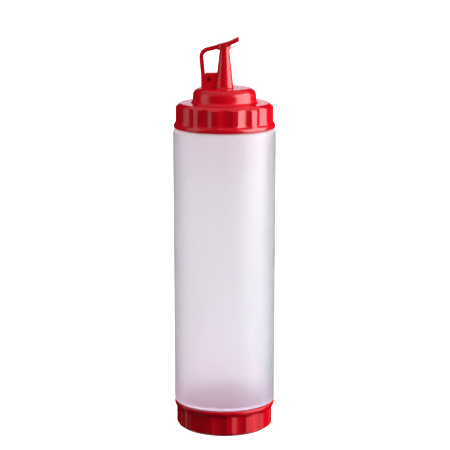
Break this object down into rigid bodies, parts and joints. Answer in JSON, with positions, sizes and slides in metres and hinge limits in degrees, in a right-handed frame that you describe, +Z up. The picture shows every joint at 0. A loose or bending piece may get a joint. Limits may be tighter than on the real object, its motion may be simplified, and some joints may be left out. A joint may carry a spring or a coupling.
{
  "type": "sauce squeeze bottle",
  "caption": "Empty upright squeeze bottle: frosted soft-plastic tube with a red screw lid, conical nozzle closed by a strap-held cap, and a fluted red screw base.",
  "frame": {"origin": "on the bottle's axis, in the plane of the flat ring that the base cap stands on", "axes": "+Z up along the bottle's axis to the nozzle; the closure's strap and tab lie in the XZ plane, with the strap on the -X side and the tab towards +X; -Y is the front"},
  "size_m": [0.0706, 0.0706, 0.2723],
  "materials": {
    "frosted_polyethylene": "translucent milky soft plastic, satin",
    "red_polypropylene": "glossy injection-moulded red plastic"
  },
  "bodies": {
    "root": {"bottle": "frosted_polyethylene", "lid": "red_polypropylene", "base_cap": "red_polypropylene"}
  },
  "joints": []
}
